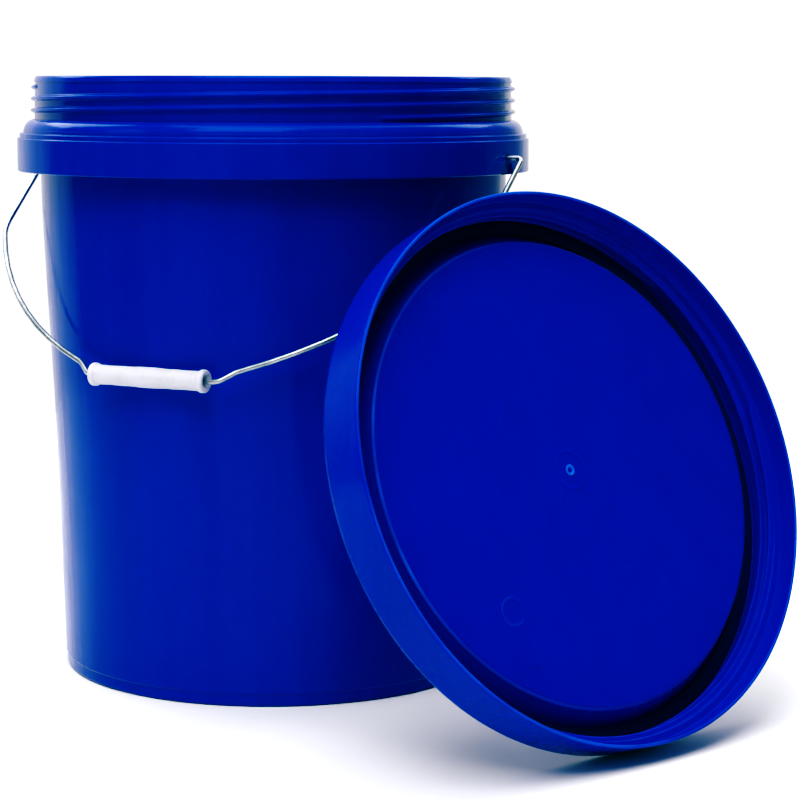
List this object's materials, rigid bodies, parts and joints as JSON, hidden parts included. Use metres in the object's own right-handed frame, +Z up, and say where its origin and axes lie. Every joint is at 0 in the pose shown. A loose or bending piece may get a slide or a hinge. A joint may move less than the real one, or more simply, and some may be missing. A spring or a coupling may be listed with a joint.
{
  "type": "lidded bucket",
  "caption": "Round plastic screw-lid bucket with a wire bail and a moulded grip; the threaded lid is off and leans beside it.",
  "frame": {"origin": "middle of the pail's underside, on the floor", "axes": "+Z up along the pail's axis; the two bail holes are on the X axis; the bail hangs towards -Y; the lid stands on the floor on the +X, -Y side"},
  "size_m": [0.5197, 0.4112, 0.376],
  "materials": {
    "pail": "glossy moulded polypropylene",
    "lid": "glossy moulded polypropylene",
    "lid_gasket": "soft dark blue rubber",
    "bail_wire": "zinc-plated drawn wire",
    "grip": "white moulded plastic, satin"
  },
  "bodies": {
    "pail": {"pail": "pail"},
    "lid": {"lid": "lid", "lid_gasket": "lid_gasket"},
    "bail": {"bail_wire": "bail_wire"},
    "grip": {"grip": "grip"}
  },
  "joints": [
    {"name": "bail_swing", "type": "hinge", "parent": "pail", "child": "bail", "pos_m": [0, 0, 0.327], "axis": [-1, 0, 0], "range_deg": [0, 260.6]},
    {"name": "grip_spin", "type": "hinge", "parent": "bail", "child": "grip", "pos_m": [-0.002, -0.15, 0.19929], "axis": [1, 0, 0], "continuous": true},
    {"name": "lid_tip", "type": "hinge", "parent": "pail", "child": "lid", "pos_m": [0.30661, -0.12124, 0.00869], "axis": [0.4163, 0.9092, 0], "range_deg": [0, 112.3]}
  ]
}
